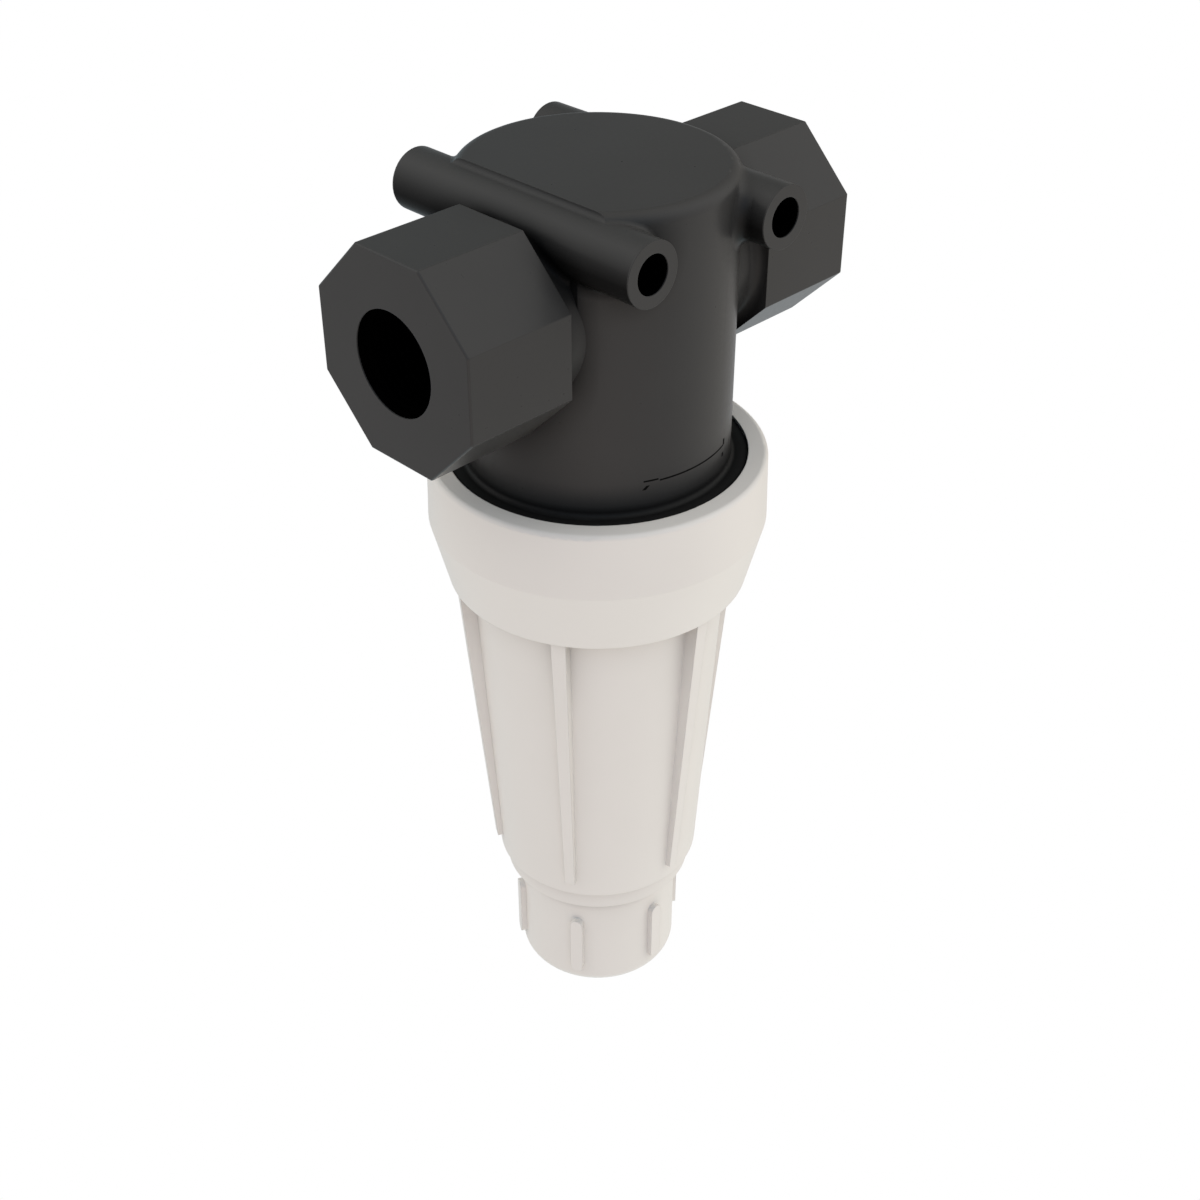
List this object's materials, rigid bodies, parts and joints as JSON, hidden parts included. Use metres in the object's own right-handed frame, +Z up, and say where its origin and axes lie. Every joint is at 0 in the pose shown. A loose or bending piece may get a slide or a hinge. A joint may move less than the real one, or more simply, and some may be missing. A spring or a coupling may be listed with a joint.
{
  "type": "inline strainer",
  "caption": "Tee-shaped inline strainer with octagonal threaded ports, cross tubes for bolts, a ribbed screw-on bowl and a lugged drain cap.",
  "frame": {"origin": "centre of the drain cap's flat base, on the bowl's axis", "axes": "+Z up along the bowl's axis, +X along the ports from inlet to outlet, +Y along the mounting tubes"},
  "size_m": [0.1194, 0.0834, 0.2366],
  "materials": {
    "head_plastic": "matte charcoal moulding",
    "bowl_plastic": "satin off-white moulding",
    "frame_plastic": "satin off-white moulding",
    "mesh_steel": "woven stainless wire",
    "seal_rubber": "matte black rubber"
  },
  "bodies": {
    "head": {"head": "head_plastic"},
    "screen": {"screen_frame": "frame_plastic", "screen_mesh": "mesh_steel", "screen_seal": "seal_rubber"},
    "bowl": {"bowl": "bowl_plastic", "bowl_gasket": "seal_rubber"},
    "cap_seal": {"cap_gasket": "seal_rubber"},
    "cap": {"drain_cap": "bowl_plastic"}
  },
  "joints": [
    {"name": "bowl_drop", "type": "slide", "parent": "head", "child": "screen", "axis": [0, 0, -1], "range_m": [0, 0.012]},
    {"name": "bowl_turn", "type": "hinge", "parent": "screen", "child": "bowl", "pos_m": [0, 0, 0.145], "axis": [0, 0, -1], "range_deg": [0, 1080]},
    {"name": "cap_drop", "type": "slide", "parent": "bowl", "child": "cap_seal", "axis": [0, 0, -1], "range_m": [0, 0.009]},
    {"name": "cap_turn", "type": "hinge", "parent": "cap_seal", "child": "cap", "pos_m": [0, 0, 0.01], "axis": [0, 0, -1], "range_deg": [0, 1080]}
  ],
  "couplings": [
    {"joint": "bowl_drop", "follows": "bowl_turn", "m_per_rad": 0.0006366},
    {"joint": "cap_drop", "follows": "cap_turn", "m_per_rad": 0.0004774}
  ]
}
